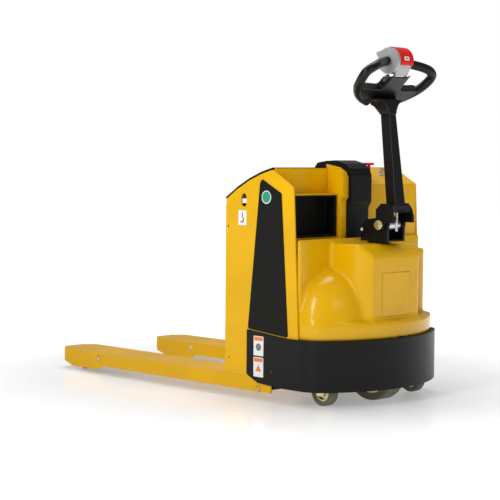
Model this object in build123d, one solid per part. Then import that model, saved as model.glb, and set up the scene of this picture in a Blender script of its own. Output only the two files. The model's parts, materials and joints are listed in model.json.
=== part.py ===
from build123d import *
import os
from math import asin, atan, cos, degrees, sin

# Electric pallet truck. A drive frame stands on a steered drive wheel and two casters, under a moulded
# hood, an upper body and a wrap-round bumper skirt. A fork frame with the battery compartment lifts on
# it, and its load wheels swing down on arms so that the forks rise level.
#
# The model is drawn in truck coordinates: X = 0 at the load face, forks towards -X, tiller end at +X,
# Y = 0 on the centre plane, Z = 0 on the floor. save() moves every part so that X = 0 is mid-length.

# ---- driving dimensions, mm ----
FORK_LENGTH = 1000.0
REACH = 572.0  # load face to the skirt's bowed nose
SPREAD = 685.0  # over the outsides of the forks
FORK_WIDTH = 172.0
DECK = 85.0  # top of the lowered forks
SOLE = 32.0  # underside of the fork's side walls
TIP_SOLE = 15.0  # underside of the deeper walls beside the load wheel
FORK_WALL = 6.0
DECK_WALL = 5.0
FORK_HEEL = 235.0
LIFT = 110.0

BODY_HALF = 345.0  # outer face of the side plates
PLATE = 6.0
REAR_TOP = 737.0  # lid's top at the load face
LID_END = 236.0
LID_TOP = 848.0  # lid's top at its front end
LID_ARCH = 14.4  # how far the lid's line rises above its chord
LID_WALL = 8.0
GAP = 0.4  # between pieces that only pass each other

SKIRT_HALF = 352.0
SKIRT_LOW = 58.0
SKIRT_TOP = 240.0
SKIRT_WALL = 4.5
SKIRT_REAR = 120.0
NOSE = REACH
NOSE_R = 520.0  # plan radius of the bowed nose

HOOD_WALL = 4.0
HOOD_BACK = 350.0
HOOD_FRONT = 530.0
HOOD_TOP = 578.0
BLOCK_HALF = 166.0  # half width of the block over the drive unit
LEDGE = 303.0  # top of the ledge round the foot of the hood
LIP = 594.0  # top of the hood's back wall
DOME_X, DOME_Y, DOME_H = 144.0, 170.0, 183.0  # reach out of the corner, along it, and height
HANDLE = (309.0, 100.0)
KEY = (280.0, 202.0)
SLOPE = ((240.0, 846.0), (345.0, 786.0))  # the right console's sloping top
HINGE_X = 9.0
HINGE_Z = 723.0
PLATE_Z = (205.0, 215.0)  # the chassis deck plate
BOLT_R = 11.0
COVER_TRAVEL = 6.0

UPPER_BACK = 240.0
PANEL_X = 315.0  # front panel of the upper body
COLUMN_X = 345.0
COLUMN_Y = 87.0
COWL_HALF = 55.0
COWL_X = 361.0
SHELF = 754.0
UPPER_HALF = 338.0

STEER_X = 440.0
DRIVE_R = 115.0
DRIVE_W = 75.0
CASTER_X = 425.0
CASTER_Y = 248.0
CASTER_R = 50.0
CASTER_W = 38.0
TRAIL = 12.0
LOAD_R = 39.0
LOAD_W = 76.0
ARM_X = -736.0  # load arm's pivot
ARM_Z = 64.0
ARM_LENGTH = 155.0
EAR = 25.0  # levers at both ends of the pull rod
SHAFT_X = 171.0
SHAFT_Z = 42.0
SHAFT_R = 12.0

TILT_X = 500.0  # tiller's tilt pivot
TILT_Z = 645.0
HEAD_X = 480.0  # origin of the head's plane
HEAD_Z = 1140.0
HEAD_ANGLE = 44.0  # the grips' plane above the horizontal, degrees
HEAD_THICK = 34.0
GRIP_R = 17.0
DRUM_X = 518.6  # axis of the control drum
DRUM_Z = 1232.5
DRUM_ANGLE = 58.0  # the reversing cover's travel above the horizontal, degrees
DRUM_R = 50.0
DRUM_HALF = 34.0
RUN = 0.05  # radial clearance of a running fit

FORK_Y = (SPREAD - FORK_WIDTH) / 2
FORK_HALF = FORK_WIDTH / 2
PLATE_IN = BODY_HALF - PLATE
TO_FRAME = Location(((FORK_LENGTH - REACH) / 2, 0, 0))
SIDES = {"left": -1, "right": 1}  # as seen from the tiller, facing the forks


# ---- helpers ----
def box(x0, x1, y0, y1, z0, z1):
    """A block between two corners."""
    return Pos((x0 + x1) / 2, (y0 + y1) / 2, (z0 + z1) / 2) * Box(x1 - x0, y1 - y0, z1 - z0)


def rod_z(x, y, radius, z0, z1):
    """An upright round bar."""
    return Pos(x, y, (z0 + z1) / 2) * Cylinder(radius, z1 - z0)


def rod_y(x, z, radius, y0, y1):
    """A round bar across the truck."""
    return Pos(x, (y0 + y1) / 2, z) * Rot(90, 0, 0) * Cylinder(radius, y1 - y0)


def rod_x(y, z, radius, x0, x1):
    """A round bar along the truck."""
    return Pos((x0 + x1) / 2, y, z) * Rot(0, 90, 0) * Cylinder(radius, x1 - x0)


def outline(corners, radius):
    """A closed outline, with its corners rounded if a radius is given."""
    if radius:
        return FilletPolyline(*corners, radius=radius, close=True)
    return Polyline(*corners, close=True)


def slab_xz(points, y0, y1, radius=0.0):
    """A plate cut to an outline in X and Z, between two Y values."""
    wire = outline([(x, y0, z) for x, z in points], radius)
    return extrude(make_face(wire), amount=y1 - y0, dir=(0, 1, 0))


def slab_xy(points, z0, z1, radius=0.0):
    """A plate cut to an outline in plan, between two heights."""
    wire = outline([(x, y, z0) for x, y in points], radius)
    return extrude(make_face(wire), amount=z1 - z0, dir=(0, 0, 1))


def both_sides(points):
    """The outline of one side, closed by its mirror image across Y = 0."""
    return points + [(x, -y) for x, y in reversed(points)]


def handed(shape, side):
    """A shape drawn for the right (+Y) side, on either side."""
    return shape if side > 0 else mirror(shape, about=Plane.XZ)


def both(shapes):
    """Shapes drawn for the right side, with their left copies."""
    return shapes + [handed(shape, -1) for shape in shapes]


def save(node, *shapes):
    """Writes one sub-part, in the part's own frame."""
    solids = [solid for shape in shapes for solid in shape.solids()]
    placed = [solid.moved(TO_FRAME) for solid in solids]
    export_step(placed[0] if len(placed) == 1 else Compound(placed), f"parts/{node}.step")


def save_pair(node, draw):
    """Writes the left and right copies of a piece that is drawn for the right side."""
    for name, side in SIDES.items():
        save(f"{node}_{name}", *[handed(shape, side) for shape in draw()])


# ---- the linkage that swings the load wheels down as the forks rise ----
ARM_REST = asin((ARM_Z - LOAD_R) / ARM_LENGTH)
ARM_LIFTED = asin((ARM_Z - LOAD_R + LIFT) / ARM_LENGTH)
HALF_TURN = (ARM_LIFTED - ARM_REST) / 2
WHEEL_X = ARM_X - ARM_LENGTH * cos(ARM_REST)
EAR_DX = EAR * sin(HALF_TURN)
EAR_DZ = EAR * cos(HALF_TURN)
TIE = LIFT / 2 / sin(HALF_TURN)
TIE_X = SHAFT_X + TIE * cos(HALF_TURN)
TIE_Z = SHAFT_Z + LIFT / 2
TIE_SLIP = TIE * (1 - cos(HALF_TURN))  # how far the tie pin creeps along its slot
TIE_Y = 60.0
PIN_R = 4.0
ROD_SIDE = 10.0  # the pull rod runs this far outside the fork's middle


# ---- fork frame ----
def fork():
    """A channel with its open side down, a closed rounded toe and deeper walls beside the wheel."""
    y0, y1 = FORK_Y - FORK_HALF, FORK_Y + FORK_HALF
    toe = -FORK_LENGTH
    corners = [(toe, y0 + 42), (toe + 40, y0), (FORK_HEEL, y0), (FORK_HEEL, y1), (toe + 40, y1), (toe, y1 - 42)]
    plan = slab_xy(corners, 0, DECK)
    plan = fillet(plan.edges().filter_by(Axis.Z).sort_by(Axis.X)[:4], 26)
    side = slab_xz([(toe, DECK), (toe, 44), (toe + 42, 33), (toe + 96, TIP_SOLE), (-752, TIP_SOLE),
                    (-706, SOLE), (FORK_HEEL, SOLE), (FORK_HEEL, DECK)], y0 - 1, y1 + 1)
    body = plan & side
    body -= box(toe + 46, FORK_HEEL + 1, y0 + FORK_WALL, y1 - FORK_WALL, 0, DECK - DECK_WALL)
    cheek = 28.0
    for near in (y0 + FORK_WALL, y1 - FORK_WALL - cheek):
        body += box(ARM_X - 14, ARM_X + 14, near, near + cheek, ARM_Z - 13, DECK - DECK_WALL)
    body -= rod_y(ARM_X, ARM_Z, 8.0, y0 - 1, y1 + 1)
    body -= rod_y(ARM_X, ARM_Z, 13.0, y1 - 3, y1 + 1)
    body -= rod_y(SHAFT_X, SHAFT_Z, SHAFT_R + RUN, y0 - 1, y1 + 1)
    return [body - box(0, FORK_HEEL + 1, y0 - 1, y1 + 1, DECK - GAP, DECK + 1)]


def arm_pin():
    """The load arm's pivot pin, with a head let into the fork's outer wall."""
    y0, y1 = FORK_Y - FORK_HALF, FORK_Y + FORK_HALF
    return [rod_y(ARM_X, ARM_Z, 8.0, y0, y1 - 3) + rod_y(ARM_X, ARM_Z, 13.0, y1 - 3, y1)]


def load_arm():
    """Two cheeks on a hub that turns on the pin, an axle for the wheel and an ear for the pull rod."""
    inside, outside = LOAD_W / 2 + 4, LOAD_W / 2 + 9
    arm = rod_y(ARM_X, ARM_Z, 13.0, FORK_Y - outside, FORK_Y + outside)
    for y0, y1 in ((FORK_Y - outside, FORK_Y - inside), (FORK_Y + inside, FORK_Y + outside)):
        arm += slab_xz([(ARM_X + 12, ARM_Z + 12), (ARM_X + 12, ARM_Z - 12), (ARM_X - 40, ARM_Z - 32),
                        (WHEEL_X - 13, LOAD_R - 13), (WHEEL_X - 13, LOAD_R + 13), (ARM_X - 90, ARM_Z + 8)],
                       y0, y1, radius=6.0)
    arm += slab_xz([(ARM_X - 9, ARM_Z - 6), (ARM_X - EAR_DX - 7, ARM_Z - EAR_DZ + 2),
                    (ARM_X - EAR_DX - 5, ARM_Z - EAR_DZ - 7), (ARM_X - EAR_DX + 6, ARM_Z - EAR_DZ - 6),
                    (ARM_X + 9, ARM_Z - 6)], FORK_Y - 5, FORK_Y + 5)
    arm += rod_y(ARM_X - EAR_DX, ARM_Z - EAR_DZ, PIN_R, FORK_Y - 5, FORK_Y + 16)
    arm += rod_y(WHEEL_X, LOAD_R, 10.0, FORK_Y - outside, FORK_Y + outside)
    arm -= rod_y(ARM_X, ARM_Z, 8.0 + RUN, FORK_Y - 80, FORK_Y + 80)
    return [arm]


def pull_rod():
    """A bar with an eye at each end. The eyes have room for the levers' rise and fall."""
    y = FORK_Y + ROD_SIDE
    toe = (ARM_X - EAR_DX, ARM_Z - EAR_DZ)
    heel = (SHAFT_X - EAR_DX, SHAFT_Z + EAR_DZ)
    play = EAR - EAR_DZ + 0.9
    half = 4.5
    bar = slab_xz([(toe[0] + 8, toe[1] - half), (heel[0] - 8, heel[1] - half),
                   (heel[0] - 8, heel[1] + half), (toe[0] + 8, toe[1] + half)], y - 4.5, y + 4.5)
    eye_half = PIN_R + play + 1.9
    for (x, z), way in ((toe, 1), (heel, -1)):
        eye = box(x - 8, x + 8, y - 4, y + 4, z - eye_half, z + eye_half)
        eye -= box(x - PIN_R - 0.4, x + PIN_R + 0.4, y - 9, y + 9, z - PIN_R - play, z + PIN_R + play)
        bar += eye + box(min(x, x + way * 12), max(x, x + way * 12), y - 4, y + 4, z - half, z + half)
        bar -= box(x - PIN_R - 0.4, x + PIN_R + 0.4, y - 9, y + 9, z - PIN_R - play, z + PIN_R + play)
    return [bar]


def load_tyre():
    """Polyurethane tread of a load roller."""
    tread = rod_y(WHEEL_X, LOAD_R, LOAD_R, FORK_Y - LOAD_W / 2, FORK_Y + LOAD_W / 2)
    tread = chamfer(tread.edges().filter_by(GeomType.CIRCLE), 2.5)
    return [tread - rod_y(WHEEL_X, LOAD_R, 29.0, FORK_Y - LOAD_W, FORK_Y + LOAD_W)]


def load_hub():
    """Steel core of a load roller, running on the arm's axle."""
    core = rod_y(WHEEL_X, LOAD_R, 29.0, FORK_Y - LOAD_W / 2 + 2, FORK_Y + LOAD_W / 2 - 2)
    core += rod_y(WHEEL_X, LOAD_R, 16.0, FORK_Y - LOAD_W / 2 - 3, FORK_Y + LOAD_W / 2 + 3)
    return [core - rod_y(WHEEL_X, LOAD_R, 10.0 + RUN, FORK_Y - LOAD_W, FORK_Y + LOAD_W)]


def torsion_shaft():
    """The cross shaft that drives both pull rods, with a tie arm each side of the middle."""
    end = FORK_Y + FORK_HALF
    shaft = rod_y(SHAFT_X, SHAFT_Z, SHAFT_R, -end, end)
    shaft += rod_y(SHAFT_X, SHAFT_Z, 19.0, -TIE_Y - 30, TIE_Y + 30)
    for side in SIDES.values():
        tie_y = side * TIE_Y
        shaft += slab_xz([(SHAFT_X - 14, SHAFT_Z - 2), (SHAFT_X + 2, SHAFT_Z - 16), (TIE_X + 2, TIE_Z - 13),
                          (TIE_X + 12, TIE_Z - 3), (TIE_X + 6, TIE_Z + 12), (TIE_X - 8, TIE_Z + 10),
                          (SHAFT_X - 8, SHAFT_Z + 14)], tie_y - 6, tie_y + 6)
        shaft += rod_y(TIE_X, TIE_Z, 8.0, tie_y - 14, tie_y + 14)
        rod_at = side * (FORK_Y + ROD_SIDE)
        lever_at = side * FORK_Y
        x, z = SHAFT_X - EAR_DX, SHAFT_Z + EAR_DZ
        shaft += slab_xz([(SHAFT_X - 11, SHAFT_Z), (x - 7, z - 2), (x - 5, z + 6), (x + 6, z + 6),
                          (SHAFT_X + 11, SHAFT_Z)], lever_at - 5, lever_at + 5)
        shaft += rod_y(x, z, PIN_R, min(lever_at, rod_at + side * 6), max(lever_at, rod_at + side * 6))
    return shaft


def lid_curve(drop):
    """Points of the battery lid's arched line, lowered by a drop."""
    points = []
    for x in (0.0, 60.0, 120.0, 180.0, LID_END):
        share = x / LID_END
        height = REAR_TOP + (LID_TOP - REAR_TOP) * share + 4 * LID_ARCH * share * (1 - share)
        points.append((x, height - drop))
    return points


STRIP = [(186, 806), (176, 790), (120, 260), (321, 243), (283, 756)]


def side_plate():
    """The plate beside the battery, flush with the fork, with a hoisting slot and a turned front edge."""
    top = lid_curve(LID_WALL + GAP)
    shoulder = Vector(340, (PLATE_IN + BODY_HALF) / 2, 779)
    points = [(0, DECK)] + top + [(shoulder.X, shoulder.Z), (369, 237), (320, 200), (FORK_HEEL, DECK)]
    plate = slab_xz(points, PLATE_IN, BODY_HALF)
    corner = plate.edges().filter_by(Axis.Y).sort_by(lambda e: (e.center() - shoulder).length)[0]
    plate = fillet(corner, 18)
    slot_x, slot_r, slot_low, slot_high = 93.0, 13.0, 717.0, 739.0
    slot = box(slot_x - slot_r, slot_x + slot_r, PLATE_IN - 1, BODY_HALF + 1, slot_low, slot_high)
    for z in (slot_low, slot_high):
        slot += rod_y(slot_x, z, slot_r, PLATE_IN - 1, BODY_HALF + 1)
    plate -= slab_xz([(-1, HINGE_Z - 10), (HINGE_X - 5.4, HINGE_Z - 10), (HINGE_X - 5.4, HINGE_Z + 1.5),
                      (HINGE_X - 1.5, HINGE_Z + 5.4), (HINGE_X - 1.5, HINGE_Z + 8), (-1, HINGE_Z + 8)],
                     PLATE_IN - 1, BODY_HALF + 1)
    return [plate - slot - rod_y(13, 630, 4.0, 300, 400) - rod_y(21, 145, 4.0, 300, 400)]


def side_strip():
    """The slim dark panel on the side plate."""
    return [slab_xz(STRIP, BODY_HALF, BODY_HALF + 2.0, radius=8.0)]


def compartment():
    """The battery compartment's load face, floor and bulkhead."""
    top = REAR_TOP - LID_WALL - 16.5
    save("load_backplate", box(0, PLATE, -PLATE_IN, PLATE_IN, DECK, top))
    floor = box(PLATE, LID_END - 8, -PLATE_IN, PLATE_IN, DECK, DECK + PLATE)
    wall = box(LID_END - 8, LID_END - 2, -PLATE_IN, PLATE_IN, DECK, 800)
    for side in SIDES.values():
        notch = box(185, LID_END, side * TIE_Y - 12, side * TIE_Y + 12, DECK - 1, 108)
        floor -= notch
        wall -= notch
    head = box(LID_END - 2, 322, -42, 42, 612, 626)
    for y in (-42, 34):
        head += slab_xz([(LID_END - 2, 560), (LID_END - 2, 612), (310, 612)], y, y + 8)
    save("battery_cradle", floor + wall + head)


BATTERY_X = (16.0, 224.0)
BATTERY_HALF = 312.0
BATTERY_Z = (DECK + PLATE, 712.0)


def battery():
    """A steel battery box with twelve cells in two rows, their links and the plug."""
    x0, x1 = BATTERY_X
    z0, z1 = BATTERY_Z
    tray = box(x0, x1, -BATTERY_HALF, BATTERY_HALF, z0, z1)
    tray -= box(x0 + 4, x1 - 4, -BATTERY_HALF + 4, BATTERY_HALF - 4, z0 + 4, z1 + 1)
    save("battery_box", tray)
    columns, rows = 2, 6
    wide = (x1 - x0 - 8) / columns
    deep = (2 * BATTERY_HALF - 8) / rows
    cells, caps, links = [], [], []
    for i in range(columns):
        for j in range(rows):
            cx = x0 + 4 + wide * (i + 0.5)
            cy = -BATTERY_HALF + 4 + deep * (j + 0.5)
            cells.append(Pos(cx, cy, (z0 + z1) / 2 - 9) * Box(wide - 2, deep - 2, z1 - z0 - 26))
            caps.append(rod_z(cx, cy, 14.0, z1 - 22, z1 - 10))
            for k in (-1, 1):
                links.append(rod_z(cx, cy + k * 32, 8.0, z1 - 22, z1 - 12))
            if j < rows - 1:
                links[-1] += box(cx - 7, cx + 7, cy + 32, cy + deep - 32, z1 - 17, z1 - 13)
    save("battery_cells", *cells, *caps)
    save("battery_links", *links)


def lid():
    """The arched battery cover, with a raised back to its middle and hinge lugs at the rear."""
    outer = lid_curve(0)
    inner = lid_curve(LID_WALL)
    cover = slab_xz(outer + inner[::-1], -BODY_HALF, BODY_HALF)
    hump = [(140, outer[2][1] - 2), (190, 866), (LID_END, 873), (LID_END, 838), (180, 820)]
    cover += slab_xz(hump, -COWL_HALF, COWL_HALF)
    for y in (-200, 180):
        cover += box(2, 16, y, y + 20, HINGE_Z - 6, REAR_TOP + 1)
        cover -= rod_y(HINGE_X, HINGE_Z, 4.0 + RUN, y - 1, y + 21)
    return cover


def lid_hinges():
    """A pin through each of the lid's lugs, between two ears on the load face."""
    pieces = []
    for y in (-200, 180):
        piece = rod_y(HINGE_X, HINGE_Z, 4.0, y - 8, y + 28)
        for ear in (y - 8, y + 20.5):
            piece += box(PLATE, 14, ear, ear + 7.5, 695, HINGE_Z + 5)
        pieces.append(piece)
    return pieces


# ---- drive frame ----
def skirt_plan(inset, z0, z1, rear):
    """The plan of the skirt and of the hood's foot: straight sides, rounded corners, bowed nose."""
    half = SKIRT_HALF - inset
    nose = rod_z(NOSE - NOSE_R, 0, NOSE_R - inset, z0, z1) & box(rear, NOSE + 1, -half, half, z0, z1)
    corners = nose.edges().filter_by(Axis.Z).sort_by(Axis.X)[-2:]
    return fillet(corners, 105 - inset)


def bumper_skirt():
    """The wrap-round skirt with its wings beside the side plates and a narrow top flange."""
    skirt = skirt_plan(0, SKIRT_LOW, SKIRT_TOP, SKIRT_REAR)
    skirt -= skirt_plan(SKIRT_WALL, SKIRT_LOW - 1, SKIRT_TOP - 4, SKIRT_REAR - 1)
    inside = skirt_plan(14, SKIRT_TOP - 5, SKIRT_TOP + 1, 372)
    skirt -= inside + box(0, 375, -SKIRT_HALF + SKIRT_WALL, SKIRT_HALF - SKIRT_WALL, SKIRT_LOW - 1, SKIRT_TOP + 1)
    skirt -= slab_xz([(SKIRT_REAR - 1, 0), (SKIRT_REAR - 1, 93), (178, 66), (300, SKIRT_LOW), (300, 0)],
                     -SKIRT_HALF - 1, SKIRT_HALF + 1)
    for side in SIDES.values():
        near, far = sorted((side * (SKIRT_HALF - SKIRT_WALL), side * SKIRT_HALF))
        skirt += slab_xz([(SKIRT_REAR, SKIRT_TOP - 1), (SKIRT_REAR, SKIRT_TOP + 17), (321, SKIRT_TOP),
                          (321, SKIRT_TOP - 1)], near, far)
        skirt -= Pos(240, side * SKIRT_HALF, 112) * Rot(90, 0, 0) * Cylinder(5, 20)
    return skirt


def drive_frame():
    """The welded chassis: a deck plate, a rear bulkhead, caster pads and the tie brackets."""
    z0, z1 = PLATE_Z
    tie_end = TIE_X + TIE_SLIP
    deck = skirt_plan(22, z0, z1, 250) & box(250, NOSE, -330, 330, z0, z1)
    frame = deck - rod_z(STEER_X, 0, 78, z0 - 1, z1 + 1)
    frame += box(250, 258, -330, 330, 120, 585)
    frame -= box(249, 259, -60, 60, 225, 586)
    for side in SIDES.values():
        y = side * 200
        frame += box(250, 262, y - 20, y + 20, 120, 585)
        frame += box(258, 330, side * 80 - 4, side * 80 + 4, z1, 330)
        pad = rod_z(CASTER_X, side * CASTER_Y, 42, 128, z0)
        pad -= rod_z(CASTER_X, side * CASTER_Y, 12 + RUN, 127, z0 + 20)
        frame -= rod_z(CASTER_X, side * CASTER_Y, 12 + RUN, 127, z0 + 20)
        frame += pad
        frame -= box(249, 259, side * TIE_Y - 9, side * TIE_Y + 9, 119, 152)
        for y in (side * TIE_Y - 14, side * TIE_Y + 7):
            frame += slab_xz([(262, z0), (262, TIE_Z - 12), (272, TIE_Z - 22), (tie_end + 8, TIE_Z - 22),
                              (tie_end + 16, TIE_Z - 12), (tie_end + 16, z0)], y, y + 7)
    return frame - box(TIE_X - 9, tie_end + 9, -80, 80, TIE_Z - 10, TIE_Z + 10)


def casters():
    """Swivel forks on running stems, and their wheels."""
    wheel_x = CASTER_X - TRAIL
    half = CASTER_W / 2

    def swivel():
        stem = rod_z(CASTER_X, CASTER_Y, 12, 112, PLATE_Z[1])
        crown = rod_z(CASTER_X, CASTER_Y, 30, 116, 127.6)
        for y in (CASTER_Y - half - 7, CASTER_Y + half + 2):
            leg = [(wheel_x - 14, 36), (wheel_x + 14, 36), (CASTER_X + 26, 118), (CASTER_X - 26, 118)]
            crown += slab_xz(leg, y, y + 5)
        crown += box(CASTER_X - 26, CASTER_X + 26, CASTER_Y - 26, CASTER_Y + 26, 112, 118)
        axle = rod_y(wheel_x, CASTER_R, 6, CASTER_Y - 30, CASTER_Y + 30)
        return [stem + crown + axle]

    def tyre():
        ring = rod_y(wheel_x, CASTER_R, CASTER_R, CASTER_Y - half, CASTER_Y + half)
        ring = fillet(ring.edges().filter_by(GeomType.CIRCLE), 6)
        return [ring - rod_y(wheel_x, CASTER_R, 34, CASTER_Y - 40, CASTER_Y + 40)]

    def hub():
        core = rod_y(wheel_x, CASTER_R, 34, CASTER_Y - 15, CASTER_Y + 15)
        for y0, y1 in ((CASTER_Y - 16, CASTER_Y - 5), (CASTER_Y + 5, CASTER_Y + 16)):
            core -= rod_y(wheel_x, CASTER_R, 27, y0, y1)
        core += rod_y(wheel_x, CASTER_R, 14, CASTER_Y - half - 1, CASTER_Y + half + 1)
        return [core - rod_y(wheel_x, CASTER_R, 6 + RUN, CASTER_Y - 40, CASTER_Y + 40)]

    save_pair("caster_fork", swivel)
    save_pair("caster_tyre", tyre)
    save_pair("caster_hub", hub)


def hydraulics():
    """The pump motor, its oil tank and the single lift cylinder, all behind the hood."""
    base = PLATE_Z[1]
    tank = box(268, 338, -300, -110, base, base + 120)
    tank += rod_z(303, -270, 14, base + 120, base + 132)
    pump = rod_z(303, -170, 26, base + 120, base + 150) + rod_z(303, -170, 38, base + 150, base + 290)
    save("pump_unit", tank + pump)
    barrel = rod_z(300, 0, 24, base, 560) + rod_z(300, 0, 27, 545, 575)
    save("lift_cylinder", barrel - rod_z(300, 0, 16 + RUN, base + 10, 576))
    save("lift_piston_rod", rod_z(300, 0, 16, base + 20, 612))
    control = box(270, 336, 120, 300, base + 20, base + 260)
    for z in range(5):
        control += box(336, 342, 126, 294, base + 40 + 44 * z, base + 60 + 44 * z)
    save("motor_controller", control + box(280, 330, 130, 290, base, base + 20))


def drive_unit():
    """The steered drive: slewing ring, gearbox beside the wheel, motor, brake and steering yoke."""
    plate_top = PLATE_Z[1]
    turntable = 77.0
    crown = 246.0
    ring = rod_z(STEER_X, 0, 85, plate_top, crown)
    save("slewing_ring", ring - rod_z(STEER_X, 0, turntable + RUN, plate_top - 1, crown + 1))
    inner = DRIVE_W / 2 + 4
    case = rod_y(STEER_X, DRIVE_R, 62, inner, inner + 46) & rod_z(STEER_X, 0, 118, 0, 300)
    case += box(STEER_X - 45, STEER_X + 45, inner, inner + 20, DRIVE_R, crown - 4)
    case += rod_z(STEER_X, 0, turntable, 2 * DRIVE_R + 4, crown + 4)
    case += rod_y(STEER_X, DRIVE_R, 17, -DRIVE_W / 2 - 4, inner)
    case += rod_y(STEER_X, DRIVE_R, 36, -DRIVE_W / 2 - 8, -DRIVE_W / 2 - 1)
    save("gearbox", case)
    save("drive_motor", rod_z(STEER_X, 0, 62, crown + 4, 436), rod_z(STEER_X, 0, 50, 436, 486))
    yoke = box(STEER_X - 34, STEER_X + 34, -72, 72, 515, 524)
    for y in (-72, 65):
        yoke += box(STEER_X - 24, STEER_X + 24, y, y + 7, crown + 4, 516)
    yoke += rod_z(STEER_X, 0, 36, 520, 586)
    save("steering_yoke", yoke + tiller_bracket())


def drive_wheel():
    """The tyre and its bolted hub."""
    y0, y1 = -DRIVE_W / 2, DRIVE_W / 2
    tyre = rod_y(STEER_X, DRIVE_R, DRIVE_R, y0, y1)
    tyre = fillet(tyre.edges().filter_by(GeomType.CIRCLE), 8)
    save("drive_tyre", tyre - rod_y(STEER_X, DRIVE_R, 88, y0 - 1, y1 + 1))
    hub = rod_y(STEER_X, DRIVE_R, 88, y0 + 3, y1 - 3)
    hub -= rod_y(STEER_X, DRIVE_R, 72, y0, y0 + 22)
    hub -= rod_y(STEER_X, DRIVE_R, 17 + RUN, y0 - 1, y1 + 1)
    save("drive_hub", hub)


# ---- covers ----
def hood_forms(inset, z0):
    """The hood's foot, block, back wall and two domes, drawn in by an inset, down to a height."""
    half = UPPER_HALF - inset
    rear = HOOD_BACK + inset
    foot = skirt_plan(16 + inset, z0, LEDGE - inset, rear) & box(HOOD_BACK, NOSE, -half, half, z0, LEDGE)
    plan = both_sides([(rear, 172 - inset), (400, 171 - inset), (488 - inset, BLOCK_HALF - inset),
                       (HOOD_FRONT - inset, 128 - inset)])
    block = slab_xy(plan, z0, HOOD_TOP - inset)
    block = fillet(block.edges().filter_by(Axis.Z).sort_by(Axis.X)[-4:], 26 - inset)
    block &= slab_xz([(HOOD_BACK - 1, z0 - 1), (HOOD_FRONT + 1, z0 - 1), (HOOD_FRONT + 1, 536 - inset),
                      (HOOD_FRONT - inset, 537 - inset), (496 - inset, HOOD_TOP - inset),
                      (HOOD_BACK - 1, HOOD_TOP - inset)], -UPPER_HALF, UPPER_HALF)
    forms = [foot, block, box(rear, HOOD_BACK + 16 - inset, -half, half, z0, LIP - inset)]
    base = LEDGE - inset
    height = DOME_H - inset
    rings = []
    for rise, share in ((0.0, 1.0), (0.3, 0.95), (0.55, 0.81), (0.8, 0.53), (0.95, 0.25), (1.0, 0.1)):
        level = Plane((HOOD_BACK + 10, -BLOCK_HALF, base + rise * height))
        rings.append(level * Ellipse((DOME_X - inset) * share, (DOME_Y - inset) * share))
    forms.append(loft(rings) & box(rear, NOSE, -half, -150, base, LIP))
    pod = box(rear, 430 - inset, 150, 305 - inset, z0, 546 - inset)
    outer_edge = pod.edges().filter_by(Axis.Z).sort_by(lambda e: e.center().X + e.center().Y)[-1]
    pod = fillet(outer_edge, 30 - inset)
    forms.append(fillet(pod.faces().sort_by(Axis.Z)[-1].edges().sort_by(Axis.X)[1:], 20 - inset))
    return forms


def drive_hood():
    """The moulded hood over the drive unit, with a raised panel on its front."""
    foot, *others = hood_forms(0, SKIRT_TOP + GAP)
    hood = foot
    for form in others:
        hood += form
    for form in hood_forms(HOOD_WALL, SKIRT_TOP - 1):
        hood -= form
    hood -= rod_z(STEER_X, 0, 46, HOOD_TOP - 20, HOOD_TOP + 1)
    return hood + box(HOOD_FRONT - 1, HOOD_FRONT + 1.5, -80, 80, 315, 474)


def upper_forms(inset):
    """The upper body's left box and column and its right console, drawn in by an inset."""
    low = LIP - 40 - inset
    back = UPPER_BACK - inset
    half = UPPER_HALF - inset
    column = COLUMN_X - inset
    tray_box = box(back, PANEL_X - inset, -half, 0, low, SHELF - inset)
    plan = [(back, 0), (back, inset - 62), (column, inset - COLUMN_Y), (column, 0)]
    profile = [(back, low), (back, 861 - inset), (306 - inset / 2, 850 - inset), (335 - inset, 832 - inset),
               (column, 812 - inset), (column, 741), (column - 10, 728), (column - 10, low)]
    post = slab_xy(plan, low, LID_TOP + 20) & slab_xz(profile, -half, 0)
    (_, rear_z), (_, front_z) = SLOPE
    slope = [(back, low), (back, rear_z - inset), (column, front_z - inset), (column, low)]
    return tray_box, post, slab_xz(slope, 0, half)


def upper_body():
    """The mouldings between the lid and the hood, either side of the cowl: shelf, column, console."""
    tray_box, post, console = upper_forms(0)
    body = tray_box + post + console
    body += box(UPPER_BACK, UPPER_BACK + 8, -UPPER_HALF, 0, SHELF - 10, LID_TOP - 2)
    for form in upper_forms(HOOD_WALL):
        body -= form
    body -= box(UPPER_BACK - 9, COLUMN_X + 1, -COWL_HALF - GAP, COWL_HALF + GAP, LIP - 50, LID_TOP + 21)
    body -= box(PANEL_X - HOOD_WALL - 1, PANEL_X + 1, -326, -COLUMN_Y - 5, LIP + 8, SHELF - 8)
    body -= rod_z(*HANDLE, 9, 780, 900)
    body -= on_slope(rod_z(0, 0, 10 + GAP, -20, 20))
    left, right = body.solids().sort_by(Axis.Y)
    save("upper_body_left", left)
    save("upper_body_right", right)


def on_slope(shape):
    """A shape drawn about the key's axis, in its place on the console's sloping top."""
    (rear_x, rear_z), (front_x, front_z) = SLOPE
    x, y = KEY
    fall = (rear_z - front_z) / (front_x - rear_x)
    return Pos(x, y, rear_z - (x - rear_x) * fall) * Rot(0, degrees(atan(fall)), 0) * shape


def storage_tray():
    """The dark tray let into the left front panel, with a turned lip."""
    y0, y1 = -325.0, -COLUMN_Y - 6
    z0, z1 = LIP + 9, SHELF - 9
    tray = box(266, PANEL_X, y0, y1, z0, z1) - box(269, PANEL_X + 1, y0 + 3, y1 - 3, z0 + 3, z1 - 3)
    lip = box(PANEL_X, PANEL_X + 2.5, y0 - 6, y1 + 5, z0 - 6, z1 + 3)
    return tray + lip - box(PANEL_X - 1, PANEL_X + 3, y0 + 3, y1 - 3, z0 + 3, z1 - 3)


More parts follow.
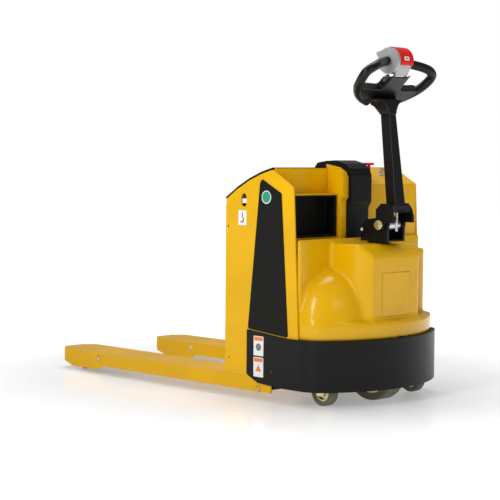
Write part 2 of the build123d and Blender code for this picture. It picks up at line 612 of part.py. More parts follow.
def centre_cowl():
    """The dark cover down the middle of the upper body, stepped in above the hood."""
    foot = HOOD_TOP + GAP
    outer = [(UPPER_BACK, 560), (UPPER_BACK, 873), (280, 875), (326, 864), (350, 846), (COWL_X, 820),
             (COWL_X, 722), (COLUMN_X + 2, 700), (COLUMN_X + 2, foot), (HOOD_BACK - GAP, foot),
             (HOOD_BACK - GAP, 560)]
    inner = [(UPPER_BACK - 1, 559), (UPPER_BACK - 1, 869), (279, 871), (324, 860), (346, 843),
             (COWL_X - 4, 819), (COWL_X - 4, 723), (COLUMN_X - 2, 701), (COLUMN_X - 2, 559)]
    cowl = slab_xz(outer, -COWL_HALF, COWL_HALF)
    return cowl - slab_xz(inner, -COWL_HALF + 4, COWL_HALF - 4)


def controls_on_body():
    """The red emergency disconnect handle, its switch, and the key in its lock."""
    x, y = HANDLE
    switch = box(x - 22, x + 8, y - 22, y + 14, 752, 794)
    save("disconnect_switch", switch - rod_z(x, y, 6 + RUN, 766, 800))
    grip = rod_z(x, y, 6, 780, 860) + Pos(x, y, 862) * Box(16, 42, 9)
    save("disconnect_handle", fillet(grip.edges().filter_by(Axis.Z), 1.5))
    lock = rod_z(0, 0, 10, -25, 0) + rod_z(0, 0, 13, GAP, 3)
    lock += rod_z(0, 0, 10, 0, 1)
    save("key_lock", on_slope(lock - rod_z(0, 0, 5 + RUN, -20, 4)))
    save("key", on_slope(rod_z(0, 0, 5, -18, 6) + box(-9, 9, -1.5, 1.5, 6, 26)))


# ---- tiller ----
def tiller_bracket():
    """The steering yoke's head: a base plate and two cheeks that hold the tilt bolt."""
    bracket = box(402, 526, -50, 50, 584, 590)
    boss = 30.0
    for y in (-50, 40):
        cheek = slab_xz([(402, 588), (402, 632), (424, 662), (TILT_X, TILT_Z + boss - 2),
                         (TILT_X + boss - 2, TILT_Z), (526, 588)], y, y + 10)
        bracket += cheek + rod_y(TILT_X, TILT_Z, boss, y, y + 10)
    bracket += box(402, 414, -50, 50, 588, 630)
    return bracket - rod_y(TILT_X, TILT_Z, BOLT_R + RUN, -60, 60)


def tilt_bolt():
    """The tiller's pivot bolt, with a hexagon head and a nut outside the knuckle's cheeks."""
    bolt = rod_y(TILT_X, TILT_Z, BOLT_R, -66, 66)
    for y in (-69, 60):
        hexagon = Pos(TILT_X, y, TILT_Z) * Rot(-90, 0, 0) * extrude(RegularPolygon(16, 6), amount=9)
        bolt += hexagon
    return bolt


def return_spring():
    """The torsion spring that stands the tiller up: a coil round the bolt and a straight leg."""
    coil = rod_y(TILT_X, TILT_Z, 21, -36, 36) - rod_y(TILT_X, TILT_Z, 15, -37, 37)
    return [coil, rod_z(TILT_X + 44, -20, 5, 622, 690)]


def tiller_arm():
    """The box-section stem on two knuckle cheeks that straddle the bracket."""
    cheek_points = [(TILT_X - 20, 628), (TILT_X - 20, 700), (TILT_X + 4, 722), (TILT_X + 34, 722),
                    (TILT_X + 50, 704), (TILT_X + 60, 676), (TILT_X + 61, 653), (TILT_X + 22, 653),
                    (TILT_X + 16, 628)]
    low = Plane((526.5, 0, 690)) * RectangleRounded(50, 56, 7)
    high = Plane((482.5, 0, 1040)) * RectangleRounded(48, 37, 7)
    arm = loft([low, high])
    for y in (-60, 50.5):
        arm += slab_xz(cheek_points, y, y + 9.5)
    arm += box(TILT_X - 10, TILT_X + 50, -51, 51, 690, 716)
    return arm - rod_y(TILT_X, TILT_Z, BOLT_R, -70, 70)


def head_frame(points, z0, z1, radius=0.0):
    """A plate in the head's plane, from (up, across) points and a thickness range."""
    wire = outline([(u, v, z0) for u, v in points], radius)
    return TO_HEAD * extrude(make_face(wire), amount=z1 - z0, dir=(0, 0, 1))


TO_HEAD = Pos(HEAD_X, 0, HEAD_Z) * Rot(0, -HEAD_ANGLE, 0)
TO_DRUM = Pos(DRUM_X, 0, DRUM_Z) * Rot(0, -DRUM_ANGLE, 0)
LOOP = [(438, 62, 1087), (465, 150, 1123), (508, 182, 1159), (536, 182, 1189), (543, 158, 1204),
        (527, 104, 1220), (DRUM_X, 48, DRUM_Z)]
BUTTONS = [(30, 42, -1, "lift_button"), (46, 58, -1, "lower_button"), (38, 56, 1, "horn_button")]
WEB_HALF = 50.0


def tiller_head():
    """The handle: a web that widens from the stem into two looped grips."""
    half = HEAD_THICK / 2
    edge = [(-80, 36), (-52, 88), (-30, 140), (-14, 170), (0, 174), (6, 150), (2, WEB_HALF + 8), (8, WEB_HALF),
            (80, WEB_HALF)]
    web = head_frame(both_sides(edge), -half, half, radius=6.0)
    start = Vector(*LOOP[0])
    path = Spline(*LOOP)
    grip = sweep(Plane(origin=start, z_dir=path % 0) * Circle(GRIP_R), path=path)
    head = web + grip + mirror(grip, Plane.XZ)
    neck = [(482.5, 1040, 52, 42), (472, 1066, 66, 62), (462, 1096, 66, 150)]
    head += loft([Plane((x, 0, z)) * RectangleRounded(depth, width, 9) for x, z, depth, width in neck])
    head -= TO_DRUM * drum(DRUM_R + 8, DRUM_HALF + 18)
    head -= TO_DRUM * box(-36 - GAP, 0, -DRUM_HALF - 1, DRUM_HALF + 1, -60, 20)
    for u0, u1, side, _ in BUTTONS:
        head -= head_block(u0 - GAP, u1 + GAP, side, WEB_HALF - 9, WEB_HALF + 12, 5 + GAP)
    return head + TO_DRUM * drum(13, DRUM_HALF + 24)


def head_block(u0, u1, side, v0, v1, half):
    """A block beside a window, from its reach up the head, its side and its distance out."""
    return TO_HEAD * box(u0, u1, min(side * v0, side * v1), max(side * v0, side * v1), -half, half)


def drum(radius, half):
    """A round bar on the control drum's axis."""
    return Rot(90, 0, 0) * Cylinder(radius, 2 * half)


def control_head():
    """The drum housing, the red reversing cover, the throttle caps, and the finger buttons."""
    core = DRUM_R - 6.1
    housing = drum(core, DRUM_HALF) & (Pos(-COVER_TRAVEL, 0, 0) * drum(core, DRUM_HALF))
    housing += box(-36, 0, -DRUM_HALF, DRUM_HALF, -core, 15)
    save("drum_housing", TO_DRUM * (housing - drum(13, DRUM_HALF + 1)))
    cover = drum(DRUM_R, DRUM_HALF) - drum(DRUM_R - 5.5, DRUM_HALF + 1)
    save("reversing_cover", TO_DRUM * (cover & box(11, 60, -100, 100, -100, 100)))
    for name, side, radius in (("left", -1, 47), ("right", 1, 30)):
        cap = Pos(0, side * (DRUM_HALF + 8), 0) * drum(radius, 7)
        if name == "left":
            beak = slab_xz([(42, 22), (-4, 64), (-13, 50), (-8, 20)], DRUM_HALF + 1, DRUM_HALF + 15)
            cap += handed(beak, side)
        save(f"throttle_{name}", TO_DRUM * (cap - drum(13 + RUN, 90)))
    for u0, u1, side, name in BUTTONS:
        save(name, head_block(u0, u1, side, WEB_HALF - 5, WEB_HALF + 6, 5))


os.makedirs("parts", exist_ok=True)
save_pair("fork", fork)
save("arm_pins", *both(arm_pin()))
save_pair("load_arm", load_arm)
save_pair("pull_rod", pull_rod)
save_pair("load_tyre", load_tyre)
save_pair("load_hub", load_hub)
save("torsion_shaft", torsion_shaft())
save_pair("side_plate", side_plate)
save("side_strips", *both(side_strip()))
compartment()
battery()
save("battery_lid", lid())
save("lid_hinges", *lid_hinges())
save("bumper_skirt", bumper_skirt())
save("drive_frame", drive_frame())
casters()
hydraulics()
drive_unit()
drive_wheel()
save("drive_hood", drive_hood())
upper_body()
save("storage_tray", storage_tray())
save("centre_cowl", centre_cowl())
controls_on_body()
save("tilt_bolt", tilt_bolt())
save("return_spring", *return_spring())
save("tiller_arm", tiller_arm())
save("tiller_head", tiller_head())
control_head()
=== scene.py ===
import json
import math

import bmesh
import bpy
from mathutils import Matrix, Vector


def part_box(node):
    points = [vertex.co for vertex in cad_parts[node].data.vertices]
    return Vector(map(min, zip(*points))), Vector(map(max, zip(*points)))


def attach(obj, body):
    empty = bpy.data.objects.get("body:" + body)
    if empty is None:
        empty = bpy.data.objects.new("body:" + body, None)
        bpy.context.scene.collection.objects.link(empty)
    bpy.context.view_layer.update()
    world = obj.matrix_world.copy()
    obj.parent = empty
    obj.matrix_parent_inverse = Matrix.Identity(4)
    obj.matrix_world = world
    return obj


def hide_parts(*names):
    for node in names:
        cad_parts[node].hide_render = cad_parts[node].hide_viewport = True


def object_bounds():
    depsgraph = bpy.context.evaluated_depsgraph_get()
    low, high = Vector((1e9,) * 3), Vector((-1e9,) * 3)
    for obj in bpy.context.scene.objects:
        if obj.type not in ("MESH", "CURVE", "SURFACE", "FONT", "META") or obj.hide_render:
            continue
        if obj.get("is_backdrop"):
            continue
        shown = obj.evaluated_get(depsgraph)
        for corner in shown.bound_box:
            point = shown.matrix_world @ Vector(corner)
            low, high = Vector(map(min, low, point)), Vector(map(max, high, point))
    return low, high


# The looks of the electric pallet truck: finishes for the CAD parts, softened mouldings for the hood
# and the tiller head, and the small fixings and plain decals that sit on them.

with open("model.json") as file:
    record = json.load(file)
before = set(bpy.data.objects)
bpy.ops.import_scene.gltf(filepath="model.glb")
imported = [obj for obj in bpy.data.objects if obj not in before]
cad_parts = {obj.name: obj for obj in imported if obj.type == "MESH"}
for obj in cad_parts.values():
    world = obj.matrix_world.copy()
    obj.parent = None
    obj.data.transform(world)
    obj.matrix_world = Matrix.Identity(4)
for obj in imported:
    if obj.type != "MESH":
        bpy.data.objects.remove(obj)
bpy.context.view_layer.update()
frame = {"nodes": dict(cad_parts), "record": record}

# ---- places, in millimetres from the load face, the centre plane and the floor ----
MM = 0.001
LOAD_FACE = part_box("load_backplate")[0].x
SKIRT_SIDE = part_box("bumper_skirt")[0].y / MM
PLATE_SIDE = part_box("side_plate_left")[0].y / MM
STRIP_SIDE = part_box("side_strips")[0].y / MM
NOSE = (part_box("bumper_skirt")[1].x - LOAD_FACE) / MM
LEFT, BACK, FRONT, UP = Vector((0, -1, 0)), Vector((-1, 0, 0)), Vector((1, 0, 0)), Vector((0, 0, 1))


def spot(x, y, z):
    """A point of the truck, in metres in the CAD frame."""
    return Vector((LOAD_FACE + x * MM, y * MM, z * MM))


# ---- finishes ----
def finish(name, colour, rough, metal=0.0, coat=0.0, spec=0.3, grain=700.0, bump=0.08, tone=0.06, edge=1.0,
           stretch=(1, 1, 1)):
    """A surface with drifting tone, uneven gloss, a fine grain and softened edges."""
    made = bpy.data.materials.new(name)
    made.use_nodes = True
    nodes, link = made.node_tree.nodes, made.node_tree.links.new
    shader = nodes["Principled BSDF"]
    shader.inputs["Metallic"].default_value = metal
    shader.inputs["Specular IOR Level"].default_value = spec
    shader.inputs["Coat Weight"].default_value = coat
    shader.inputs["Coat Roughness"].default_value = 0.08
    place = nodes.new("ShaderNodeTexCoord")
    spread = nodes.new("ShaderNodeMapping")
    spread.inputs["Scale"].default_value = stretch
    link(place.outputs["Object"], spread.inputs["Vector"])
    cloud = nodes.new("ShaderNodeTexNoise")
    cloud.inputs["Scale"].default_value = 4.0
    cloud.inputs["Detail"].default_value = 6.0
    link(spread.outputs["Vector"], cloud.inputs["Vector"])
    ramp = nodes.new("ShaderNodeValToRGB")
    ramp.color_ramp.elements[0].position, ramp.color_ramp.elements[1].position = 0.35, 0.65
    ramp.color_ramp.elements[0].color = (*[c * (1 - tone) for c in colour], 1)
    ramp.color_ramp.elements[1].color = (*[min(1, c * (1 + tone)) for c in colour], 1)
    link(cloud.outputs["Fac"], ramp.inputs["Fac"])
    link(ramp.outputs["Color"], shader.inputs["Base Color"])
    fine = nodes.new("ShaderNodeTexNoise")
    fine.inputs["Scale"].default_value = grain
    fine.inputs["Detail"].default_value = 3.0
    link(spread.outputs["Vector"], fine.inputs["Vector"])
    gloss = nodes.new("ShaderNodeMapRange")
    gloss.inputs["To Min"].default_value = rough * 0.8
    gloss.inputs["To Max"].default_value = min(1.0, rough * 1.25)
    link(cloud.outputs["Fac"], gloss.inputs["Value"])
    link(gloss.outputs["Result"], shader.inputs["Roughness"])
    soft = nodes.new("ShaderNodeBevel")
    soft.samples = 4
    soft.inputs["Radius"].default_value = edge * MM
    relief = nodes.new("ShaderNodeBump")
    relief.inputs["Strength"].default_value = bump
    relief.inputs["Distance"].default_value = 0.0006
    link(fine.outputs["Fac"], relief.inputs["Height"])
    link(soft.outputs["Normal"], relief.inputs["Normal"])
    link(relief.outputs["Normal"], shader.inputs["Normal"])
    return made


YELLOW = (0.74, 0.405, 0.001)
FINISHES = {
    "yellow_paint": finish("yellow_enamel", YELLOW, 0.32, coat=0.14, spec=0.12, bump=0.10, edge=1.6),
    "yellow_cover": finish("yellow_moulding", YELLOW, 0.24, coat=0.32, spec=0.12, bump=0.05, edge=7.0),
    "dark_strip": finish("strip_film", (0.0085, 0.008, 0.007), 0.36, spec=0.10, bump=0.05, edge=0.8),
    "skirt_plastic": finish("skirt_moulding", (0.0075, 0.007, 0.0065), 0.36, spec=0.16, bump=0.25,
                            grain=1200, tone=0.12, edge=4.0),
    "black_plastic": finish("cover_moulding", (0.0045, 0.004, 0.004), 0.38, spec=0.14, bump=0.22,
                            grain=1100, tone=0.12, edge=7.0),
    "black_steel": finish("black_enamel", (0.0065, 0.006, 0.0055), 0.30, spec=0.20, bump=0.12, tone=0.2,
                          edge=1.6),
    "head_plastic": finish("head_moulding", (0.0055, 0.005, 0.0045), 0.32, spec=0.22, bump=0.25,
                           grain=1300, tone=0.15, edge=3.0),
    "bright_steel": finish("machined_steel", (0.58, 0.58, 0.57), 0.30, metal=1.0, spec=0.5, grain=260,
                           bump=0.2, stretch=(1, 9, 1)),
    "zinc": finish("yellow_zinc", (0.74, 0.66, 0.38), 0.33, metal=1.0, spec=0.5, tone=0.25, grain=300,
                   bump=0.15),
    "battery_steel": finish("acid_proof_enamel", (0.05, 0.055, 0.06), 0.5, bump=0.2),
    "battery_case": finish("cell_case", (0.06, 0.065, 0.07), 0.5, bump=0.1),
    "lead": finish("cast_lead", (0.30, 0.30, 0.32), 0.55, metal=0.9, spec=0.5, tone=0.2, bump=0.4,
                   grain=400),
    "polyurethane": finish("tread", (0.17, 0.16, 0.11), 0.60, spec=0.25, bump=0.3, grain=500, tone=0.18),
    "silver_plastic": finish("silver_moulding", (0.40, 0.40, 0.40), 0.34, metal=0.35, bump=0.15,
                             tone=0.05, edge=2.5),
    "red_plastic": finish("red_moulding", (0.70, 0.008, 0.005), 0.26, coat=0.10, spec=0.14, bump=0.04,
                          edge=2.5),
    "button_plastic": finish("button_moulding", (0.10, 0.10, 0.105), 0.45, bump=0.2, edge=1.5),
}
LABEL = finish("label_film", (0.78, 0.78, 0.76), 0.35, tone=0.03, bump=0.03)
ORANGE = finish("label_orange", (0.80, 0.20, 0.03), 0.35, tone=0.05, bump=0.03)
GREY_INK = finish("label_grey", (0.16, 0.16, 0.17), 0.45, tone=0.10, bump=0.03)
GREEN = finish("badge_green", (0.02, 0.28, 0.16), 0.30, tone=0.08, bump=0.03)
SLOT_OF = {part["node"]: part["material_slot"] for part in frame["record"]["subparts"]}
CREASE = math.radians(32)


def dress(piece, material):
    """Gives a piece one finish, and smooth shading up to its creases."""
    piece.data.materials.clear()
    piece.data.materials.append(material)
    for face in piece.data.polygons:
        face.material_index = 0
        face.use_smooth = True
    piece.data.set_sharp_from_angle(angle=CREASE)


for node, slot in SLOT_OF.items():
    dress(frame["nodes"][node], FINISHES[slot])


# ---- mesh tools ----
def solid(name, shape, material, body):
    """A finished piece from a bmesh, riding on a CAD body."""
    bmesh.ops.recalc_face_normals(shape, faces=shape.faces)
    mesh = bpy.data.meshes.new(name)
    shape.to_mesh(mesh)
    shape.free()
    piece = bpy.data.objects.new(name, mesh)
    bpy.context.scene.collection.objects.link(piece)
    dress(piece, material)
    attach(piece, body)
    return piece


def prism(shape, outline, low, high):
    """Adds a closed upright block to a bmesh. high is one height or one for each corner."""
    tops = high if isinstance(high, list) else [high] * len(outline)
    below = [shape.verts.new(spot(x, y, low)) for x, y in outline]
    above = [shape.verts.new(spot(x, y, top)) for (x, y), top in zip(outline, tops)]
    count = len(outline)
    shape.faces.new(below[::-1])
    shape.faces.new(above)
    for i in range(count):
        shape.faces.new((below[i], below[(i + 1) % count], above[(i + 1) % count], above[i]))


def arc(x, y, radius, start, end, steps):
    """Points round a centre, from one angle in degrees to another."""
    turns = [math.radians(start + (end - start) * i / steps) for i in range(steps + 1)]
    return [(x + radius * math.cos(a), y + radius * math.sin(a)) for a in turns]


def mirrored(points):
    """The points and their mirror images, as one outline round the centre plane."""
    return points + [(x, -y) for x, y in reversed(points)]


def apply_modifiers(piece):
    """Makes what the modifiers show the piece's own mesh."""
    shown = bpy.data.meshes.new_from_object(piece.evaluated_get(bpy.context.evaluated_depsgraph_get()))
    piece.modifiers.clear()
    piece.data = shown


def soften(piece, voxel, passes):
    """Fuses what overlaps in a piece into one skin and rounds it off."""
    remesh = piece.modifiers.new("fuse", "REMESH")
    remesh.mode = "VOXEL"
    remesh.voxel_size = voxel * MM
    smooth = piece.modifiers.new("round", "SMOOTH")
    smooth.factor = 0.5
    smooth.iterations = passes
    bpy.context.view_layer.update()
    apply_modifiers(piece)


def facing(centre, out, turn=0.0):
    """A placement whose z points out of a surface and whose y is as near to up as it can be."""
    out = out.normalized()
    side = (UP if abs(out.z) < 0.9 else BACK).cross(out).normalized()
    up = out.cross(side)
    placed = Matrix((side, up, out)).transposed().to_4x4()
    return Matrix.Translation(centre) @ placed @ Matrix.Rotation(turn, 4, "Z")


def slab(name, points, thick, placed, material, body, rim=0.3):
    """A thin plate from a flat outline in mm, with an eased top edge."""
    shape = bmesh.new()
    base = [shape.verts.new((x * MM, y * MM, -0.2 * MM)) for x, y in points]
    top = shape.faces.new(base)
    lifted = bmesh.ops.extrude_face_region(shape, geom=[top])
    raised = [v for v in lifted["geom"] if isinstance(v, bmesh.types.BMVert)]
    bmesh.ops.translate(shape, verts=raised, vec=(0, 0, (thick + 0.2) * MM))
    edges = [e for e in shape.edges if all(v in raised for v in e.verts)]
    bmesh.ops.bevel(shape, geom=edges, offset=min(rim, thick * 0.6) * MM, segments=2, affect="EDGES")
    bmesh.ops.transform(shape, matrix=placed, verts=shape.verts)
    return solid(name, shape, material, body)


def card(width, height, corner):
    """The outline of a rectangle with rounded corners."""
    x, y = width / 2 - corner, height / 2 - corner
    return (arc(x, y, corner, 0, 90, 4) + arc(-x, y, corner, 90, 180, 4)
            + arc(-x, -y, corner, 180, 270, 4) + arc(x, -y, corner, 270, 360, 4))


def lathe(name, profile, placed, material, body, steps=32):
    """A turned piece from (radius, height) points in mm about its own z."""
    shape = bmesh.new()
    rings = []
    for radius, height in profile:
        rings.append([shape.verts.new((radius * MM * math.cos(a), radius * MM * math.sin(a), height * MM))
                      for a in (2 * math.pi * i / steps for i in range(steps))])
    for near, far in zip(rings, rings[1:]):
        for i in range(steps):
            shape.faces.new((near[i], near[(i + 1) % steps], far[(i + 1) % steps], far[i]))
    shape.faces.new(rings[0][::-1])
    shape.faces.new(rings[-1])
    bmesh.ops.transform(shape, matrix=placed, verts=shape.verts)
    return solid(name, shape, material, body)


def hexagon_bolt(name, radius, placed, material, body):
    """A washer and a chamfered hexagon head."""
    washer = [(radius * 1.35, -0.2), (radius * 1.35, 1.6), (radius * 1.2, 2.0)]
    lathe(f"{name}_washer", washer, placed, material, body)
    shape = bmesh.new()
    bmesh.ops.create_cone(shape, cap_ends=True, segments=6, radius1=radius * MM, radius2=radius * MM,
                          depth=radius * 0.7 * MM)
    bmesh.ops.translate(shape, verts=shape.verts, vec=(0, 0, (2 + radius * 0.35) * MM))
    bmesh.ops.bevel(shape, geom=shape.edges[:], offset=radius * 0.09 * MM, segments=2, affect="EDGES")
    bmesh.ops.transform(shape, matrix=placed, verts=shape.verts)
    solid(f"{name}_head", shape, material, body)


def pan_screw(name, radius, placed, material, body):
    """A domed screw head with a socket."""
    dome = [(radius, -0.2), (radius, radius * 0.25), (radius * 0.8, radius * 0.5),
            (radius * 0.45, radius * 0.6), (radius * 0.40, radius * 0.25), (radius * 0.05, radius * 0.2)]
    lathe(name, dome, placed, material, body, steps=24)


# ---- tiller head, fused and rounded from its CAD solid ----
HEAD = FINISHES["head_plastic"]
source = bmesh.new()
source.from_mesh(frame["nodes"]["tiller_head"].data)
bmesh.ops.remove_doubles(source, verts=source.verts, dist=0.00001)
head = solid("head_shell", source, HEAD, "tiller")
soften(head, 2.2, 26)
dress(head, HEAD)
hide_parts("tiller_head")

# ---- hood, fused from its main forms and shelled ----
HOOD_BACK = (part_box("drive_hood")[0].x - LOAD_FACE) / MM
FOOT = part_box("drive_hood")[0].z / MM
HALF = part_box("drive_hood")[1].y / MM
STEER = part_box("slewing_ring")
STEER_X = (sum(corner.x for corner in STEER) / 2 - LOAD_FACE) / MM
LEDGE, BLOCK_FRONT, BLOCK_TOP = 303.0, 530.0, 578
FOOT_INSET, CORNER, LIP_DEPTH, LIP_TOP, POD_TOP = 16.0, 89.0, 16, 594.0, 546.0
HEM = FOOT - 6  # below the foot, cut away once the forms are fused

forms = bmesh.new()
reach = 504.0
nose_x = NOSE - FOOT_INSET - reach
corner_y = SKIRT_SIDE * -1 - FOOT_INSET - CORNER
corner_x = nose_x + math.sqrt((reach - CORNER) ** 2 - corner_y ** 2)
turn = math.degrees(math.atan2(corner_y, corner_x - nose_x))
edge = [(HOOD_BACK, corner_y + CORNER)] + arc(corner_x, corner_y, CORNER, 90, turn, 8)
edge += arc(nose_x, 0, reach, turn, 0, 12)[1:]
prism(forms, mirrored(edge), HEM, LEDGE)
block = [(HOOD_BACK, 172), (400, 171), (488, 166), (504, 155), (BLOCK_FRONT, 128)]
crown = [BLOCK_TOP, BLOCK_TOP, BLOCK_TOP, 571, 537]
prism(forms, mirrored(block), HEM, crown + crown[::-1])
prism(forms, mirrored([(HOOD_BACK, HALF), (HOOD_BACK + LIP_DEPTH, HALF)]), HEM, LIP_TOP)
pod = [(HOOD_BACK, 150), (430, 150)] + arc(400, 275, 30, 0, 90, 6) + [(HOOD_BACK, 305)]
prism(forms, pod, HEM, POD_TOP)
DOME_X, DOME_Y, DOME_REACH, DOME_HALF, DOME_RISE, STEPS = 360, -166, 144, 170, 183, 36
rings = []
for rise, share in ((-0.1, 1.0), (0.0, 1.0), (0.16, 0.985), (0.3, 0.95), (0.45, 0.89), (0.6, 0.79),
                    (0.74, 0.66), (0.86, 0.47), (0.95, 0.27), (1.0, 0.1)):
    level = []
    for a in (2 * math.pi * i / STEPS for i in range(STEPS)):
        along = max(HOOD_BACK, DOME_X + DOME_REACH * share * math.cos(a))
        across = DOME_Y + DOME_HALF * share * math.sin(a)
        level.append(forms.verts.new(spot(along, across, LEDGE + DOME_RISE * rise)))
    rings.append(level)
for near, far in zip(rings, rings[1:]):
    for i in range(STEPS):
        forms.faces.new((near[i], near[(i + 1) % STEPS], far[(i + 1) % STEPS], far[i]))
forms.faces.new(rings[0][::-1])
forms.faces.new(rings[-1])
hood = solid("hood_shell", forms, FINISHES["yellow_cover"], "chassis")
soften(hood, 4.0, 34)
opened = bmesh.new()
opened.from_mesh(hood.data)
middle = spot(STEER_X, 0, 0)
TOP_ZONE, COLUMN_HOLE = 560 * MM, 47 * MM
unwanted = []
for f in opened.faces:
    place = f.calc_center_median()
    over_column = place.z > TOP_ZONE and (place.xy - middle.xy).length < COLUMN_HOLE
    if place.z < (FOOT + 1) * MM or over_column:
        unwanted.append(f)
bmesh.ops.delete(opened, geom=unwanted, context="FACES")
opened.to_mesh(hood.data)
opened.free()
wall = hood.modifiers.new("wall", "SOLIDIFY")
wall.thickness = 4 * MM
wall.offset = -1.0
bpy.context.view_layer.update()
apply_modifiers(hood)
dress(hood, FINISHES["yellow_cover"])
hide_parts("drive_hood")
slab("hood_front_panel", card(160, 159, 6), 1.6, facing(spot(BLOCK_FRONT, 0, 394.5), FRONT),
     FINISHES["yellow_cover"], "chassis", rim=0.8)

# ---- plain decals ----
on_plate = facing(spot(86, PLATE_SIDE, 663), LEFT)
slab("hook_label", card(42, 55, 3), 0.4, on_plate, LABEL, "fork_frame")
hook = [(-3, 18), (3, 18), (3, 2)] + arc(-2, -8, 11, 50, -150, 12) + arc(-2, -8, 5, -150, 50, 8) + [(-3, 4)]
slab("hook_mark", hook, 0.6, on_plate, GREY_INK, "fork_frame")
LABEL_X = 181
for i, (low, mark, ink) in enumerate(((165, card(28, 28, 13.9), GREY_INK),
                                      (88, [(-15, -12), (15, -12), (0, 14)], ORANGE))):
    middle_z = low + 36
    slab(f"skirt_label_{i}", card(50, 72, 3), 0.4, facing(spot(LABEL_X, SKIRT_SIDE, middle_z), LEFT),
         LABEL, "chassis")
    slab(f"skirt_label_head_{i}", card(44, 14, 1.5), 0.55,
         facing(spot(LABEL_X, SKIRT_SIDE, middle_z + 26), LEFT), ORANGE, "chassis")
    slab(f"skirt_label_mark_{i}", mark, 0.55, facing(spot(LABEL_X, SKIRT_SIDE, middle_z - 4), LEFT),
         ink, "chassis")
on_strip = facing(spot(209, STRIP_SIDE, 741), LEFT)
slab("badge_rim", card(48, 48, 23.9), 0.4, on_strip, LABEL, "fork_frame")
slab("badge_face", card(42, 42, 20.9), 0.6, on_strip, GREEN, "fork_frame")

# ---- fixings ----
ZINC, STEEL = FINISHES["zinc"], FINISHES["bright_steel"]
bolt_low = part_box("tilt_bolt")[0]
bolt_end = Vector((bolt_low.x + 16 * MM, bolt_low.y, 0.645))
hexagon_bolt("knuckle_bolt", 13, facing(bolt_end, LEFT), ZINC, "tiller")

# plain label on the front of the reversing cover, and small screws
DRUM_CENTRE, DRUM_R, LABEL_RISE = spot(518.6, -4, 1232.5), 50.0, math.radians(9)
outward = Vector((math.cos(LABEL_RISE), 0, math.sin(LABEL_RISE)))
placed = facing(DRUM_CENTRE + outward * (DRUM_R - 0.3) * MM, outward)
slab("cover_label", card(26, 14, 1.5), 0.8, placed, LABEL, "reversing_button")
slab("cover_label_mark", card(16, 5, 1.0), 0.9, placed, GREY_INK, "reversing_button")
HEAD_SLOPE = math.radians(44)
under = Vector((math.sin(HEAD_SLOPE), 0, -math.cos(HEAD_SLOPE)))
HEAD_HALF_THICK, SCREW_PLACE = 17, Vector((-0.0355, -0.0374, -0.0343))
screw_at = spot(480, 0, 1140) + under * HEAD_HALF_THICK * MM + SCREW_PLACE
pan_screw("head_screw", 5, facing(screw_at, under), STEEL, "tiller")
yoke_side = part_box("steering_yoke")[0].y
for i, (x, z, radius, slot) in enumerate(((426, 627, 7, "bright_steel"), (446, 606, 5, "black_steel"),
                                          (408, 600, 4, "black_steel"))):
    placed = facing(Vector((LOAD_FACE + x * MM, yoke_side, z * MM)), LEFT)
    pan_screw(f"bracket_screw_{i}", radius, placed, FINISHES[slot], "steer")

# pins of the load arms and of the tie rods, on the outer side of each fork
for side, end in ((-1, "left"), (1, "right")):
    out = Vector((0, side, 0))
    fork_low, fork_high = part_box(f"fork_{end}")
    wall = fork_low.y if side < 0 else fork_high.y
    for i, (x, z, radius) in enumerate(((-736, 64, 14), (171, 42, 11))):
        placed = facing(Vector((LOAD_FACE + x * MM, wall, z * MM)), out)
        lathe(f"fork_collar_{end}_{i}", [(radius, -0.2), (radius, 1.2), (radius - 1, 1.8), (radius - 4, 1.8),
                                         (radius - 4.5, 0.4), (radius * 0.1, 0.4)], placed,
              FINISHES["yellow_paint"], "fork_frame")
        lathe(f"fork_pin_{end}_{i}", [(radius * 0.5, 0.2), (radius * 0.5, 1.6), (radius * 0.4, 2.2),
                                      (radius * 0.05, 2.2)], placed, STEEL, "fork_frame")

# ---- light, floor and camera ----
def lamp(name, energy, place, target, size):
    """A soft studio light aimed at a point."""
    data = bpy.data.lights.new(name, "AREA")
    data.energy = energy
    data.shape = "RECTANGLE"
    data.size, data.size_y = size
    light = bpy.data.objects.new(name, data)
    bpy.context.scene.collection.objects.link(light)
    light.location = place
    light.rotation_mode = "QUATERNION"
    light.rotation_quaternion = (Vector(target) - Vector(place)).to_track_quat("-Z", "Y")


lamp("key_softbox", 34, (0.9, -3.3, 2.4), (0.4, 0, 0.4), (0.7, 2.2))
lamp("front_softbox", 12, (3.8, -0.6, 2.2), (0.3, 0, 0.5), (1.6, 1.6))
lamp("top_softbox", 80, (-0.4, 0.2, 3.4), (0.0, 0, 0.0), (3.0, 2.0))
lamp("strip_light", 14, (1.0, -2.6, 1.3), (0.45, -0.2, 0.4), (0.10, 1.6))
world = bpy.data.worlds.new("studio")
world.use_nodes = True
sky, wire = world.node_tree.nodes, world.node_tree.links.new
fill = sky["Background"]
fill.inputs["Color"].default_value = (0.95, 0.97, 1.0, 1)
fill.inputs["Strength"].default_value = 0.30
paper = sky.new("ShaderNodeBackground")
paper.inputs["Color"].default_value = (1.0, 1.0, 1.0, 1)
seen = sky.new("ShaderNodeLightPath")
either = sky.new("ShaderNodeMixShader")
wire(seen.outputs["Is Camera Ray"], either.inputs[0])
wire(fill.outputs["Background"], either.inputs[1])
wire(paper.outputs["Background"], either.inputs[2])
wire(either.outputs["Shader"], sky["World Output"].inputs["Surface"])
bpy.context.scene.world = world
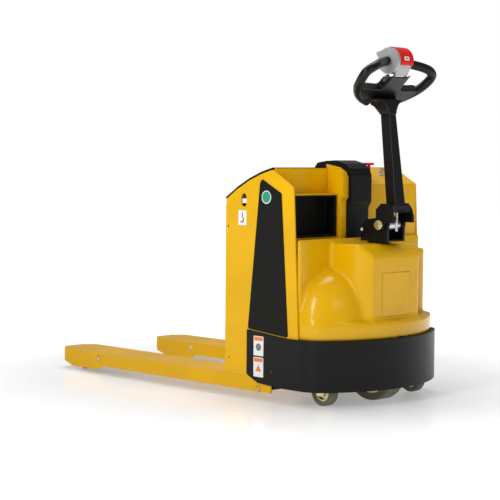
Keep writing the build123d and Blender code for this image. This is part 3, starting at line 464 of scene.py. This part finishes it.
bpy.context.scene.view_settings.view_transform = "Standard"

ground = bmesh.new()
bmesh.ops.create_grid(ground, x_segments=2, y_segments=2, size=14)
floor_mesh = bpy.data.meshes.new("floor")
ground.to_mesh(floor_mesh)
ground.free()
floor = bpy.data.objects.new("floor", floor_mesh)
bpy.context.scene.collection.objects.link(floor)
floor.location.z = -0.0005
pale = finish("pale_floor", (0.66, 0.66, 0.66), 0.22, spec=0.35, tone=0.01, bump=0.0, edge=0.0)
pale.node_tree.nodes["Principled BSDF"].inputs["Emission Color"].default_value = (1, 1, 1, 1)
paving, join = pale.node_tree.nodes, pale.node_tree.links.new
# The floor glows less close to the truck: a painted shadow under and round the truck, rising to an even
# white glow further out.
away = paving.new("ShaderNodeVectorMath")
away.operation = "LENGTH"
join(paving["Texture Coordinate"].outputs["Object"], away.inputs[0])
painted_shadow_glow = paving.new("ShaderNodeMapRange")
painted_shadow_glow.interpolation_type = "SMOOTHSTEP"
painted_shadow_glow.inputs["From Min"].default_value, painted_shadow_glow.inputs["From Max"].default_value = 0.5, 2.4
painted_shadow_glow.inputs["To Min"].default_value, painted_shadow_glow.inputs["To Max"].default_value = 0.30, 1.0
join(away.outputs["Value"], painted_shadow_glow.inputs["Value"])
join(painted_shadow_glow.outputs["Result"], paving["Principled BSDF"].inputs["Emission Strength"])
floor.data.materials.append(pale)
floor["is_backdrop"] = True

AZIMUTH, PITCH, ROLL = math.radians(44.775), math.radians(-3.61), math.radians(0.504)
ahead = Vector((-math.sin(AZIMUTH) * math.cos(PITCH), math.cos(AZIMUTH) * math.cos(PITCH), math.sin(PITCH)))
level = Vector((math.cos(AZIMUTH), math.sin(AZIMUTH), 0))
above = level.cross(ahead)
side = math.cos(ROLL) * level + math.sin(ROLL) * above
top = math.cos(ROLL) * above - math.sin(ROLL) * level
lens = bpy.data.cameras.new("camera")
lens.lens = 109.0
lens.sensor_width = 36.0
camera = bpy.data.objects.new("camera", lens)
bpy.context.scene.collection.objects.link(camera)
turned = Matrix((side, top, -ahead)).transposed().to_4x4()
camera.matrix_world = Matrix.Translation(spot(3999.15, -4248.39, 893.58)) @ turned
bpy.context.scene.camera = camera

low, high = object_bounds()
